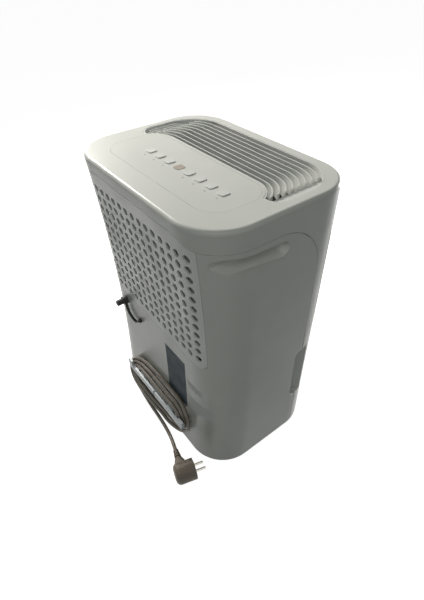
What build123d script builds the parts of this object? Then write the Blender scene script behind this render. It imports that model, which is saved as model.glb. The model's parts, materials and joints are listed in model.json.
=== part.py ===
"""Compressor dehumidifier: front at -Y, inlet back at +Y, +Z up, origin on the floor under the middle."""
from build123d import *
import math
import os

# Overall housing
BODY_W = 356.0
BODY_H = 500.0
TOP_DEPTH = 256.0
FRONT_LEAN = 8.0
REAR_LEAN = 4.8
REAR_HOLLOW = 11.2
CORNER_R = 68.0
TOP_EDGE_R = 6.0
FLOOR_GAP = 3.0
WALL = 2.8
SEAM_GAP = 0.6
FIT_GAP = 0.3
RUN_GAP = 0.05
SEAT_GAP = 0.5

# Seams between the mouldings
SIDE_SEAM_Y = -63.0
SIDE_SEAM_Z = 468.0
SIDE_SEAM_R = 82.0
REAR_SEAM_Z = 480.0
REAR_SEAM_HALF_X = 100.0
REAR_SEAM_RUN = 45.0
TANK_TOP_Z = 256.0

# Hand scoops in the sides
SCOOP_Y = 58.5
SCOOP_Z = 448.0
SCOOP_LENGTH = 118.0
SCOOP_HEIGHT = 23.0
SCOOP_DEPTH = 13.0
SCOOP_DRAFT = 28.0
SCOOP_TILT = 2.5
SCOOP_TURN = 7.0

# Finger slots at the tank's rear edges
SLOT_BACK_Y = -48.5
SLOT_FRONT_Y = -86.0
SLOT_LOW_Z = 92.0
SLOT_HIGH_Z = 212.0
SLOT_DEPTH = 14.0
SLOT_R = 13.0

# Facing panel on the upper front
FASCIA_EDGE_Y = -86.0
FASCIA_LOW_Z = 262.0
FASCIA_HIGH_Z = 430.0
FASCIA_T = 2.2
FASCIA_GROOVE = 6.0
FASCIA_BACKING = 5.0

# Air outlet in the top
OUTLET_HALF_X = 163.0
OUTLET_FRONT_Y = -108.0
OUTLET_END_Y = 12.5
OUTLET_FRONT_R = 62.0
OUTLET_END_R = 21.5
GRILLE_WALL = 2.0
GRILLE_LOW_Z = 470.0
BLADE_COUNT = 8
BLADE_T = 1.6
BLADE_DEPTH = 20.0
BLADE_DROP = 1.5
BLADE_END_X = 140.0
RIB_PITCH = 45.0
RIB_H = 8.0
RAMP_X = 139.0
RAMP_STEPS = 6
RAMP_STEP_W = 4.0
RAMP_STEP_H = 1.5
RAMP_LOW_Z = 491.0
RAMP_T = 3.5
GRILLE_FLANGE = 5.0
GRILLE_FLANGE_T = 3.0

# Control panel in the top
PANEL_HALF_X = 136.5
PANEL_FRONT_Y = -8.0
PANEL_BACK_Y = 91.0
PANEL_R = 36.0
PANEL_RIDGE = 4.0
PANEL_LEDGE = 3.0
KEY_PITCH = 24.5
KEY_Y = 41.5
KEY_W = 14.0
KEY_L = 15.0
KEY_R = 4.0
KEY_PROUD = 1.2
KEY_TRAVEL = 0.8
KEY_FLANGE = 1.5
KEY_FLANGE_T = 1.6
KEY_STEM_R = 2.5
KEY_SLOTS = (3, 2, 1, -1, -2, -3, -4)
WINDOW_PROUD = 0.4
LIGHT_R = 1.2
LIGHT_DX = -4.0
LIGHT_DY = 14.0
BOARD_TOP_Z = 485.0
BOARD_T = 1.6
BOARD_HALF_Y = 22.0
BOARD_X0 = -122.0
BOARD_X1 = 98.0
BOARD_BOSS_R = 3.5
BOARD_BOSS_INSET = 6.0
SWITCH_W = 6.0
BOARD_SCREW_R = 1.5
BOARD_SCREW_HEAD_R = 2.8
BOARD_SCREW_HEAD_H = 2.0

# Perforated inlet panel and filter in the back
INLET_HALF_X = 142.0
INLET_LOW_Z = 246.5
INLET_LOW_R = 14.0
INLET_T = 2.6
HOLE_R = 5.9
HOLE_SIDES = 8
HOLE_PITCH_X = 18.2
HOLE_PITCH_Z = 16.9
HOLE_COLUMNS = 15
HOLE_ROWS = 12
HOLE_TOP_Z = 453.0
HOOK_X = 80.0
HOOK_W = 18.0
HOOK_DROP = 6.0
HOOK_T = 2.0
FILTER_HALF_X = 132.0
FILTER_LOW_Z = 263.0
FILTER_HIGH_Z = 463.0
FILTER_T = 4.0
FILTER_BAR = 8.0
FILTER_RIB = 4.0
FILTER_R = 12.0
MESH_T = 0.8
MESH_LAP = 4.0

# Base, deck and bulkhead
PAN_T = 5.0
PAN_INSET = 4.0
FOOT_R = 12.0
FOOT_X = 130.0
FOOT_FRONT_Y = -80.0
FOOT_BACK_Y = 88.0
DECK_LOW_Z = 258.0
DECK_T = 3.0
DECK_BACK_Y = 105.0
BULKHEAD_Y = -0.5
BULKHEAD_T = 2.5
BASE_SCREW_R = 1.8
BASE_SCREW_HEAD_R = 4.0
BASE_SCREW_HEAD_H = 2.0
BASE_SCREW_X = 150.0
BASE_BOSS_R = 5.0
BASE_BOSS_H = 22.0

# Water tank
TANK_HALF_X = 142.0
TANK_FRONT_Y = -112.0
TANK_BACK_Y = -6.0
TANK_HIGH_Z = 238.0
TANK_WALL = 2.2
TANK_R = 18.0
TANK_FACE_T = 3.0
TANK_RIB_T = 3.0
TANK_RIB_X = 110.0
LID_T = 3.0
LID_INLET_X = 70.0
LID_INLET_Y = 40.0
DRIP_Y = -45.0
GAUGE_W = 14.0
GAUGE_LOW_Z = 60.0
GAUGE_HIGH_Z = 210.0
FLOAT_X = -100.0
FLOAT_W = 46.0
FLOAT_H = 24.0
FLOAT_Y0 = -84.0
FLOAT_Y1 = -50.0
FLOAT_AXLE_Y = -28.0
FLOAT_AXLE_Z = 226.0
FLOAT_AXLE_R = 2.5
FLOAT_ARM_T = 4.0
EAR_T = 4.0
EAR_REACH = 7.0

# Cooling circuit
COIL_HALF_X = 122.0
COIL_LOW_Z = 280.0
COIL_HIGH_Z = 466.0
COIL_PLATE_T = 2.0
EVAPORATOR_Y0 = 79.0
EVAPORATOR_Y1 = 101.0
CONDENSER_Y0 = 54.0
CONDENSER_Y1 = 75.0
FIN_PITCH = 6.0
FIN_T = 1.6
FIN_DEPTH = 6.0
BEND_R = 8.0
TUBE_R = 3.5
BEND_COUNT = 3
BEND_FIRST_Z = 310.0
BEND_STEP_Z = 56.0
TRAY_HALF_X = 128.0
TRAY_Y0 = 50.0
TRAY_Y1 = 104.0
TRAY_H = 14.0
TRAY_T = 2.0
CHANNEL_HALF_X = 12.0
CHANNEL_H = 7.0
SPOUT_R = 6.0
SPOUT_LENGTH = 14.0
COMPRESSOR_X = -92.0
COMPRESSOR_Y = 56.0
COMPRESSOR_R = 49.0
COMPRESSOR_H = 188.0
COMPRESSOR_DOME = 22.0
GROMMET_R = 9.0
GROMMET_H = 10.0
GROMMET_CIRCLE_R = 47.0
COMPRESSOR_FOOT_T = 2.5
TERMINAL_W = 34.0
TERMINAL_D = 14.0
TERMINAL_H = 40.0
ACCUMULATOR_X = -6.0
ACCUMULATOR_R = 18.0
ACCUMULATOR_H = 110.0
ACCUMULATOR_Z = 60.0
CAPACITOR_X = 46.0
CAPACITOR_Y = 62.0
CAPACITOR_R = 20.0
CAPACITOR_H = 85.0
PIPE_R = 4.0
PIPE_BEND_R = 12.0
DRIER_X = 154.0
DRIER_R = 8.0
DRIER_Z0 = 300.0
DRIER_Z1 = 370.0
CAPILLARY_R = 1.6
CAPILLARY_Z = 422.0

# Fan
FAN_Z = 358.0
SCROLL_R = 88.0
SCROLL_T = 2.0
SCROLL_Y0 = -72.0
SCROLL_Y1 = -10.0
SCROLL_NECK_X = 30.0
SCROLL_TOP_Z = 469.5
SCROLL_INLET_R = 58.0
WHEEL_R = 74.0
WHEEL_Y0 = -64.0
WHEEL_Y1 = -18.0
WHEEL_BLADES = 24
WHEEL_BLADE_T = 1.4
WHEEL_BLADE_CHORD = 15.0
WHEEL_BLADE_TURN = 40.0
WHEEL_PLATE_T = 2.5
WHEEL_RING_W = 14.0
WHEEL_HUB_R = 12.0
WHEEL_HUB_H = 20.0
SHAFT_R = 4.0
MOTOR_R = 38.0
MOTOR_Y0 = -110.0
MOTOR_FLANGE_R = 50.0
MOTOR_FLANGE_T = 2.0
MOTOR_SCREW_CIRCLE_R = 44.0
MOTOR_SCREW_R = 2.0
MOTOR_SCREW_HEAD_R = 3.8
MOTOR_HOLE_R = 16.0

# Drain outlet and plug
DRAIN_X = 100.0
DRAIN_Z = 230.0
DRAIN_BORE_R = 6.0
DRAIN_WALL = 2.0
DRAIN_FLANGE_R = 12.0
DRAIN_DROP_Y = 85.0
PLUG_STEM_L = 12.0
PLUG_HEAD_R = 8.0
PLUG_HEAD_L = 9.0
PLUG_GRIP_R = 5.5
PLUG_GRIP_L = 12.0
STRAP_W = 5.0
STRAP_T = 2.0
STRAP_ANCHOR = (53.0, 211.0)
STRAP_ANCHOR_R = 4.5

# Cord wrap and cord
WRAP_X = -5.0
WRAP_Z = 72.0
WRAP_HALF_X = 97.0
WRAP_SPLIT = 1.5
WRAP_BAR_H = 12.5
WRAP_BAR_T = 4.4
WRAP_LIP_W = 13.0
WRAP_LIP_H = 10.0
WRAP_STEM_X = 50.0
WRAP_STEM_W = 14.0
WRAP_STEM_H = 16.0
WRAP_BAR_Y = 136.0
CORD_R = 3.5
CORD_PITCH = 7.7
WINDING_Y = 130.4
WINDING_LEAN = 14.0
WINDING_LOOPS = 3
WINDING_RIGHT = (-56.0, -6.0)
WINDING_RIGHT_R = 31.0
WINDING_LEFT = (47.0, -14.0)
WINDING_LEFT_R = 33.0
LEAD_X = 78.0
LEAD_Y = 125.3
LEAD_LOW_Z = 25.0
LEAD_R = 21.0
LEAD_STRAIGHT = 4.0
LEAD_FREE = 8.0
LEAD_BEND_R = 30.0
CLIMB_FLAT = 31.0
CLIMB_R = 100.0
RELIEF_TILT = 12.0
RELIEF_L = 28.0
RELIEF_R = 5.0
RELIEF_TIP_R = 4.2
RELIEF_COLLAR_R = 8.0
RELIEF_COLLAR_T = 3.0
TAIL_FIRST_RUN = 16.8
TAIL_POINTS = (
    (89.0, 140.6, 26.3),
    (77.2, 142.4, 14.1),
    (61.7, 143.6, 7.2),
    (36.0, 144.6, 4.3),
    (4.0, 145.6, 4.2),
    (-34.0, 147.0, 4.9),
    (-64.0, 149.0, 11.5),
)
TAIL_LAST_RUN = 15.0
PLUG_CENTRE = (-145.7, 171.6, 19.0)
PLUG_CORD_DIR = (0.96, -0.28, 0.0)
PLUG_R = 19.0
PLUG_FACE_Z = 21.3
PLUG_BACK_Z = -15.7
PLUG_BACK_R = 9.0
PLUG_NECK_X = 26.0
PLUG_NECK_END_X = 46.0
PLUG_NECK_R = 7.0
PLUG_NECK_TIP_R = 4.6
PIN_R = 2.4
PIN_L = 19.0
PIN_SPACING = 19.0
PIN_SET = 6.0
PIN_TURN = -30.0
EARTH_W = 6.0
EARTH_T = 1.6

TOP_UNDER_Z = BODY_H - WALL
PAN_TOP_Z = FLOOR_GAP + PAN_T
DECK_TOP_Z = DECK_LOW_Z + DECK_T
BIG = 600.0


def front_y(z):
    return -TOP_DEPTH / 2 + FRONT_LEAN * (1 - z / BODY_H)


def rear_y(z):
    drop = 1 - z / BODY_H
    return TOP_DEPTH / 2 - REAR_LEAN * drop - REAR_HOLLOW * 4 * drop * (1 - drop)


def block(x0, x1, y0, y1, z0, z1):
    return Pos((x0 + x1) / 2, (y0 + y1) / 2, (z0 + z1) / 2) * Box(x1 - x0, y1 - y0, z1 - z0)


def rod_z(x, y, radius, z0, z1):
    return Pos(x, y, (z0 + z1) / 2) * Cylinder(radius, z1 - z0)


def rod_y(x, z, radius, y0, y1):
    return Pos(x, (y0 + y1) / 2, z) * Rot(90, 0, 0) * Cylinder(radius, y1 - y0)


def rod_x(y, z, radius, x0, x1):
    return Pos((x0 + x1) / 2, y, z) * Rot(0, 90, 0) * Cylinder(radius, x1 - x0)


def xz_prism(sketch, y0, y1):
    """A sketch drawn as (x, z), standing between two depths."""
    return extrude(Plane((0, y1, 0), x_dir=(1, 0, 0), z_dir=(0, -1, 0)) * sketch, y1 - y0)


def yz_prism(sketch, x0, x1):
    """A sketch drawn as (y, z), standing between two widths."""
    return extrude(Plane((x0, 0, 0), x_dir=(0, 1, 0), z_dir=(1, 0, 0)) * sketch, x1 - x0)


def xy_prism(sketch, z0, z1):
    return extrude(Plane((0, 0, z0)) * sketch, z1 - z0)


def rounded(x0, x1, y0, y1, radius):
    return Pos((x0 + x1) / 2, (y0 + y1) / 2) * RectangleRounded(x1 - x0, y1 - y0, radius)


def two_radius_rectangle(x0, x1, y0, y1, low_r, high_r):
    sheet = Pos((x0 + x1) / 2, (y0 + y1) / 2) * Rectangle(x1 - x0, y1 - y0)
    sheet = fillet(sheet.vertices().group_by(Axis.Y)[0], low_r)
    return fillet(sheet.vertices().group_by(Axis.Y)[-1], high_r)


def housing_body(inset=0.0):
    """The housing's outer form, drawn in by an even wall."""
    top = BODY_H - inset
    mid = (top + FLOOR_GAP) / 2
    front_low = (front_y(FLOOR_GAP) + inset, FLOOR_GAP)
    front_top = (front_y(top) + inset, top)
    rear_top = (rear_y(top) - inset, top)
    rear_mid = (rear_y(mid) - inset, mid)
    rear_low = (rear_y(FLOOR_GAP) - inset, FLOOR_GAP)
    outline = [
        Line(front_low, front_top),
        Line(front_top, rear_top),
        ThreePointArc(rear_top, rear_mid, rear_low),
        Line(rear_low, front_low),
    ]
    half_w = BODY_W / 2 - inset
    body = yz_prism(make_face(outline), -half_w, half_w)
    uprights = [e for e in body.edges() if abs((e @ 0).Z - (e @ 1).Z) > BODY_H / 2]
    body = fillet(uprights, CORNER_R - inset)
    rim = body.faces().sort_by(Axis.Z)[-1].edges()
    return fillet(rim, max(TOP_EDGE_R - inset, TOP_EDGE_R / 4))


def skin(outer_inset, inner_inset):
    return housing_body(outer_inset) - housing_body(inner_inset)


def mirrored(solid):
    return mirror(solid, about=Plane.YZ)


def rear_zone(gap):
    """Space of the rear moulding: sides and back, up to the seam under the top."""
    corner = fillet(
        (Pos((SIDE_SEAM_Y + gap + BIG) / 2, (SIDE_SEAM_Z - gap) / 2)
         * Rectangle(BIG - SIDE_SEAM_Y - gap, SIDE_SEAM_Z - gap)).vertices().sort_by_distance(
            (SIDE_SEAM_Y + gap, SIDE_SEAM_Z - gap))[0],
        SIDE_SEAM_R)
    sides = yz_prism(corner, -BIG / 2, BIG / 2)
    return sides + xz_prism(rear_rise(gap), TOP_DEPTH / 4, BIG / 2)


def rear_rise(gap):
    """Raised part of the rear seam, running down to the side seam in an S at each end."""
    rise = REAR_SEAM_Z - SIDE_SEAM_Z
    bend_r = (REAR_SEAM_RUN ** 2 + rise ** 2) / (4 * rise)
    turn = math.degrees(math.asin(REAR_SEAM_RUN / 2 / bend_r))
    over = JernArc((REAR_SEAM_HALF_X, REAR_SEAM_Z - gap), (1, 0), bend_r, -turn)
    under = JernArc(over @ 1, over % 1, bend_r, turn)
    end = under @ 1
    low = SIDE_SEAM_Z - 2 * rise
    half = make_face([over, under, Line(end, (end.X, low)), Line((end.X, low), (0, low)),
                      Line((0, low), (0, REAR_SEAM_Z - gap)), Line((0, REAR_SEAM_Z - gap), over @ 0)])
    return half + mirror(half, about=Plane.YZ)


def scoop(grow):
    """Dished hand hold in the left side, drafted so that it fades into the rear corner."""
    outline = Pos(SCOOP_Y, SCOOP_Z) * Rot(0, 0, SCOOP_TILT) * SlotOverall(
        SCOOP_LENGTH + 2 * grow, SCOOP_HEIGHT + 2 * grow)
    turn = math.radians(SCOOP_TURN)
    plane = Plane((-BODY_W / 2, 0, 0), x_dir=(math.sin(turn), math.cos(turn), 0),
                  z_dir=(math.cos(turn), -math.sin(turn), 0))
    dish = extrude(plane * outline, SCOOP_DEPTH + grow, taper=SCOOP_DRAFT)
    mouth = extrude(plane * outline, -2 * SCOOP_DEPTH)
    return dish + mouth


def slot_prism(grow):
    """Finger slot seen from the side, right through the left wall."""
    outline = rounded(SLOT_FRONT_Y - CORNER_R, SLOT_BACK_Y + grow, SLOT_LOW_Z - grow, SLOT_HIGH_Z + grow,
                      SLOT_R)
    return yz_prism(outline, -BODY_W / 2 - WALL, -BODY_W / 2 + 2 * SLOT_DEPTH)


def slot_wedge(grow):
    """Finger slot's hollow: deep at the back edge, running out on the front corner."""
    deep_x = -BODY_W / 2 + SLOT_DEPTH + grow
    shallow_x = -BODY_W / 2 + WALL + grow
    wedge = make_face(Polyline((-BODY_W, SLOT_BACK_Y + grow), (deep_x, SLOT_BACK_Y + grow),
                               (shallow_x, SLOT_FRONT_Y), (-BODY_W, SLOT_FRONT_Y - BODY_W / 2), close=True))
    return xy_prism(wedge, SLOT_LOW_Z - SLOT_R, SLOT_HIGH_Z + SLOT_R) & slot_prism(grow)


def outlet_region(outer_inset, inner_inset):
    """Plan of the outlet: a bow round the front of the control panel."""
    bow = two_radius_rectangle(-OUTLET_HALF_X + outer_inset, OUTLET_HALF_X - outer_inset,
                               OUTLET_FRONT_Y + outer_inset, OUTLET_END_Y - outer_inset,
                               OUTLET_FRONT_R - outer_inset, OUTLET_END_R - outer_inset)
    ridge = PANEL_RIDGE + inner_inset
    return bow - panel_outline(-ridge)


def panel_outline(inset):
    return rounded(-PANEL_HALF_X + inset, PANEL_HALF_X - inset, PANEL_FRONT_Y + inset, PANEL_BACK_Y - inset,
                   PANEL_R - inset)


def inlet_outline(inset):
    """Inlet opening seen from behind: rounded at the bottom, running out above the rear seam."""
    return two_radius_rectangle(-INLET_HALF_X + inset, INLET_HALF_X - inset, INLET_LOW_Z + inset,
                                REAR_SEAM_Z + INLET_LOW_R, INLET_LOW_R - inset, INLET_LOW_R / 2)


def key_outline(x, grow):
    return Pos(x, KEY_Y) * RectangleRounded(KEY_W + 2 * grow, KEY_L + 2 * grow, KEY_R + grow)


def key_x(slot):
    return slot * KEY_PITCH


OUTER = housing_body()
CAVITY = housing_body(WALL)
ABOVE_TANK = block(-BIG, BIG, -BIG, BIG, TANK_TOP_Z, BIG)


def rear_shell():
    left = scoop(0)
    left_back = scoop(WALL)
    outer = OUTER - left - mirrored(left)
    cavity = CAVITY - left_back - mirrored(left_back)
    shell = (outer - cavity) & rear_zone(SEAM_GAP)
    slot = slot_prism(0)
    shell = shell - slot - mirrored(slot)
    shell = shell - xz_prism(inlet_outline(0), 0, BIG)
    shell = shell - rod_y(DRAIN_X, DRAIN_Z, DRAIN_FLANGE_R + FIT_GAP, 0, BIG)
    return shell - rod_y(STRAP_ANCHOR[0], STRAP_ANCHOR[1], STRAP_ANCHOR_R / 2 + FIT_GAP, 0, BIG)


def front_shell():
    shell = ((OUTER - CAVITY) - rear_zone(0)) & ABOVE_TANK
    backing = skin(WALL, FASCIA_BACKING) & block(-BIG, BIG, -BIG, FASCIA_EDGE_Y + FASCIA_GROOVE, TANK_TOP_Z,
                                                  FASCIA_HIGH_Z + FASCIA_GROOVE)
    recess = skin(0, FASCIA_T) & block(-BIG, BIG, -BIG, FASCIA_EDGE_Y, FASCIA_LOW_Z, FASCIA_HIGH_Z)
    shell = shell + backing - recess
    shell = shell - xy_prism(outlet_region(0, 0), GRILLE_LOW_Z, BIG)
    shell = shell - xy_prism(panel_outline(0), TOP_UNDER_Z - WALL, BIG)
    ledge = panel_outline(-PANEL_RIDGE / 2) - panel_outline(PANEL_LEDGE)
    return shell + xy_prism(ledge, TOP_UNDER_Z - WALL, TOP_UNDER_Z)


def front_fascia():
    inside = FASCIA_GROOVE
    return skin(0, FASCIA_T) & block(-BIG, BIG, -BIG, FASCIA_EDGE_Y - inside, FASCIA_LOW_Z + inside,
                                     FASCIA_HIGH_Z - inside)


def blade_plan(index):
    """One blade from above: straight across, bending back at both ends."""
    share = index / (BLADE_COUNT + 1)
    inner_front = PANEL_FRONT_Y - PANEL_RIDGE
    y = OUTLET_FRONT_Y + share * (inner_front - OUTLET_FRONT_Y)
    bend_r = OUTLET_FRONT_R + share * (PANEL_R + PANEL_RIDGE - OUTLET_FRONT_R)
    bend_x = OUTLET_HALF_X - OUTLET_FRONT_R
    turn = math.asin((BLADE_END_X - bend_x) / bend_r)
    sides = []
    for radius in (bend_r + BLADE_T / 2, bend_r - BLADE_T / 2):
        points = []
        for part in (0, 0.5, 1):
            angle = part * turn
            points.append((bend_x + radius * math.sin(angle), y + bend_r - radius * math.cos(angle)))
        sides.append(points)
    outer, inner = sides
    flip = [(-px, py) for px, py in outer], [(-px, py) for px, py in inner]
    wire = [
        Line(flip[0][0], outer[0]),
        ThreePointArc(*outer),
        Line(outer[2], inner[2]),
        ThreePointArc(inner[2], inner[1], inner[0]),
        Line(inner[0], flip[1][0]),
        ThreePointArc(*flip[1]),
        Line(flip[1][2], flip[0][2]),
        ThreePointArc(flip[0][2], flip[0][1], flip[0][0]),
    ]
    return make_face(wire)


def outlet_grille():
    blade_top = BODY_H - BLADE_DROP
    blade_low = blade_top - BLADE_DEPTH
    inside = FIT_GAP + GRILLE_WALL
    frame = outlet_region(FIT_GAP, FIT_GAP) - outlet_region(inside, inside)
    grille = xy_prism(frame, GRILLE_LOW_Z, BODY_H - FIT_GAP)
    field = xy_prism(outlet_region(FIT_GAP, FIT_GAP), GRILLE_LOW_Z, BODY_H - FIT_GAP)
    flange = outlet_region(-GRILLE_FLANGE, FIT_GAP) - outlet_region(inside, FIT_GAP)
    grille += xy_prism(flange, TOP_UNDER_Z - GRILLE_FLANGE_T, TOP_UNDER_Z)
    for index in range(1, BLADE_COUNT + 1):
        grille += xy_prism(blade_plan(index), blade_low, blade_top)
    bars = []
    for step in range(-2, 3):
        x = step * RIB_PITCH
        bars.append(block(x - BLADE_T / 2, x + BLADE_T / 2, -BIG, 0, blade_low, blade_low + RIB_H))
    for step in range(RAMP_STEPS):
        x0 = RAMP_X + step * RAMP_STEP_W
        top = RAMP_LOW_Z + step * RAMP_STEP_H
        tread = block(x0, x0 + RAMP_STEP_W + BLADE_T, -BIG, BIG, top - RAMP_T, top)
        bars += [tread, mirrored(tread)]
    for bar in bars:
        grille += bar & field
    return grille


def control_panel():
    panel = xy_prism(panel_outline(FIT_GAP), TOP_UNDER_Z, BODY_H)
    for slot in KEY_SLOTS + (0,):
        panel -= xy_prism(key_outline(key_x(slot), 0), TOP_UNDER_Z - WALL, BIG)
    for slot in KEY_SLOTS:
        panel -= rod_z(key_x(slot) + LIGHT_DX, KEY_Y + LIGHT_DY, LIGHT_R + FIT_GAP, TOP_UNDER_Z - WALL, BIG)
    for x, y in board_corners():
        boss = rod_z(x, y, BOARD_BOSS_R, BOARD_TOP_Z, TOP_UNDER_Z)
        panel += boss - rod_z(x, y, BOARD_SCREW_R, BOARD_TOP_Z, TOP_UNDER_Z - WALL)
    return panel


def board_corners():
    xs = (BOARD_X0 + BOARD_BOSS_INSET, BOARD_X1 - BOARD_BOSS_INSET)
    ys = (KEY_Y - BOARD_HALF_Y + BOARD_BOSS_INSET, KEY_Y + BOARD_HALF_Y - BOARD_BOSS_INSET)
    return [(x, y) for x in xs for y in ys]


def control_board():
    board = block(BOARD_X0, BOARD_X1, KEY_Y - BOARD_HALF_Y, KEY_Y + BOARD_HALF_Y, BOARD_TOP_Z - BOARD_T,
                  BOARD_TOP_Z)
    for x, y in board_corners():
        board -= rod_z(x, y, BOARD_SCREW_R + FIT_GAP, 0, BIG)
    return board


def board_screws():
    under = BOARD_TOP_Z - BOARD_T
    screws = []
    for x, y in board_corners():
        head = rod_z(x, y, BOARD_SCREW_HEAD_R, under - BOARD_SCREW_HEAD_H, under)
        screws.append(head + rod_z(x, y, BOARD_SCREW_R - RUN_GAP, under, TOP_UNDER_Z - 2 * WALL))
    return screws


def key_button(slot):
    x = key_x(slot)
    cap = xy_prism(key_outline(x, -FIT_GAP), TOP_UNDER_Z - KEY_FLANGE_T, BODY_H + KEY_PROUD)
    cap = chamfer(cap.faces().sort_by(Axis.Z)[-1].edges(), KEY_PROUD * 0.5)
    flange_top = TOP_UNDER_Z - FIT_GAP
    flange = xy_prism(key_outline(x, KEY_FLANGE), flange_top - KEY_FLANGE_T, flange_top)
    stem = rod_z(x, KEY_Y, KEY_STEM_R, stem_low_z(), flange_top - KEY_FLANGE_T)
    return cap + flange + stem


def stem_low_z():
    return switch_top_z() + KEY_TRAVEL + FIT_GAP / 2


def switch_top_z():
    return TOP_UNDER_Z - FIT_GAP - KEY_FLANGE_T - 2 * WALL


def key_switches():
    half = SWITCH_W / 2
    switches = []
    for slot in KEY_SLOTS:
        x = key_x(slot)
        body = block(x - half, x + half, KEY_Y - half, KEY_Y + half, BOARD_TOP_Z, switch_top_z() - 1)
        switches.append(body + rod_z(x, KEY_Y, KEY_STEM_R, switch_top_z() - 1, switch_top_z()))
    return switches


def display_window():
    lens = xy_prism(key_outline(0, -FIT_GAP), TOP_UNDER_Z, BODY_H + WINDOW_PROUD)
    return lens + xy_prism(key_outline(0, KEY_FLANGE), TOP_UNDER_Z - KEY_FLANGE_T, TOP_UNDER_Z)


def indicator_lights():
    return [rod_z(key_x(slot) + LIGHT_DX, KEY_Y + LIGHT_DY, LIGHT_R, BOARD_TOP_Z, BODY_H + WINDOW_PROUD / 2)
            for slot in KEY_SLOTS]


def inlet_holes():
    cutters = []
    for column in range(HOLE_COLUMNS):
        x = (column - (HOLE_COLUMNS - 1) / 2) * HOLE_PITCH_X
        for row in range(HOLE_ROWS):
            z = HOLE_TOP_Z - row * HOLE_PITCH_Z
            cutters.append(Pos(x, z) * Rot(0, 0, 180 / HOLE_SIDES) * RegularPolygon(HOLE_R, HOLE_SIDES))
    return xz_prism(Sketch() + cutters, TOP_DEPTH / 4, BIG / 2)


def filter_grille():
    opening = xz_prism(inlet_outline(SEAM_GAP), TOP_DEPTH / 4, BIG / 2)
    panel = skin(0, INLET_T) & opening & rear_zone(SEAM_GAP)
    panel = panel - inlet_holes()
    low = INLET_LOW_Z + SEAM_GAP
    wall_y = rear_y(low)
    back = wall_y - WALL - SEAM_GAP
    for x in (-HOOK_X, HOOK_X):
        panel += block(x - HOOK_W / 2, x + HOOK_W / 2, back - HOOK_T, wall_y - INLET_T / 2,
                       low, low + HOOK_T)
        panel += block(x - HOOK_W / 2, x + HOOK_W / 2, back - HOOK_T, back, low - HOOK_DROP, low + HOOK_T)
    return panel


def filter_frame():
    frame = rounded(-FILTER_HALF_X, FILTER_HALF_X, FILTER_LOW_Z, FILTER_HIGH_Z, FILTER_R)
    middle_z = (FILTER_LOW_Z + FILTER_HIGH_Z) / 2
    cell_x = (-FILTER_HALF_X + FILTER_BAR, -FILTER_RIB / 2, FILTER_RIB / 2, FILTER_HALF_X - FILTER_BAR)
    cell_z = (FILTER_LOW_Z + FILTER_BAR, middle_z - FILTER_RIB / 2, middle_z + FILTER_RIB / 2,
              FILTER_HIGH_Z - FILTER_BAR)
    for ix in (0, 2):
        for iz in (0, 2):
            frame -= rounded(cell_x[ix], cell_x[ix + 1], cell_z[iz], cell_z[iz + 1], FILTER_R / 3)
    outer = INLET_T + SEAT_GAP
    return skin(outer, outer + FILTER_T) & xz_prism(frame, TOP_DEPTH / 4, BIG / 2)


def filter_mesh():
    sheet = rounded(-FILTER_HALF_X + MESH_LAP, FILTER_HALF_X - MESH_LAP, FILTER_LOW_Z + MESH_LAP,
                    FILTER_HIGH_Z - MESH_LAP, FILTER_R - MESH_LAP)
    outer = INLET_T + SEAT_GAP + FILTER_T
    return skin(outer, outer + MESH_T) & xz_prism(sheet, TOP_DEPTH / 4, BIG / 2)


def base_screw_places():
    return [(side * BASE_SCREW_X, y) for side in (-1, 1) for y in (BULKHEAD_Y + 2 * BASE_BOSS_R,)]


def base_pan():
    pan = housing_body(PAN_INSET) & block(-BIG, BIG, -BIG, BIG, FLOOR_GAP, PAN_TOP_Z)
    for x, y in base_screw_places():
        pan -= rod_z(x, y, BASE_SCREW_R + FIT_GAP, 0, BIG)
    return pan


def rubber_feet():
    feet = []
    for x in (-FOOT_X, FOOT_X):
        for y in (FOOT_FRONT_Y, FOOT_BACK_Y):
            foot = rod_z(x, y, FOOT_R, 0, FLOOR_GAP)
            feet.append(chamfer(foot.edges().group_by(Axis.Z)[0], FLOOR_GAP / 3))
    return feet


def base_screws():
    screws = []
    for x, y in base_screw_places():
        head = rod_z(x, y, BASE_SCREW_HEAD_R, FLOOR_GAP - BASE_SCREW_HEAD_H, FLOOR_GAP)
        screws.append(head + rod_z(x, y, BASE_SCREW_R, FLOOR_GAP, PAN_TOP_Z + BASE_BOSS_H / 2))
    return screws


def chassis():
    """Deck over the tank bay and the upright wall behind the tank."""
    room = housing_body(FASCIA_BACKING + SEAT_GAP)
    deck = room & block(-BIG, BIG, -BIG, DECK_BACK_Y, DECK_LOW_Z, DECK_TOP_Z)
    wall = room & block(-BIG, BIG, BULKHEAD_Y - BULKHEAD_T, BULKHEAD_Y, PAN_TOP_Z, DECK_LOW_Z)
    frame = deck + wall
    for x, y in base_screw_places():
        boss = block(x - BASE_BOSS_R, x + BASE_BOSS_R, BULKHEAD_Y - BULKHEAD_T / 2, y + BASE_BOSS_R,
                     PAN_TOP_Z,
                     PAN_TOP_Z + BASE_BOSS_H)
        frame += boss
        frame -= rod_z(x, y, BASE_SCREW_R + RUN_GAP, PAN_TOP_Z, PAN_TOP_Z + BASE_BOSS_H * 0.8)
    frame -= rod_z(0, DRIP_Y, SPOUT_R + FIT_GAP, 0, BIG)
    frame -= rod_z(DRAIN_X, DRAIN_DROP_Y, DRAIN_BORE_R + DRAIN_WALL + FIT_GAP, DECK_LOW_Z - WALL, BIG)
    for x, y in (discharge_points()[3][:2], suction_points()[3][:2]):
        frame -= rod_z(x, y, PIPE_R + 1, DECK_LOW_Z - WALL, BIG)
    return frame


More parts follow.
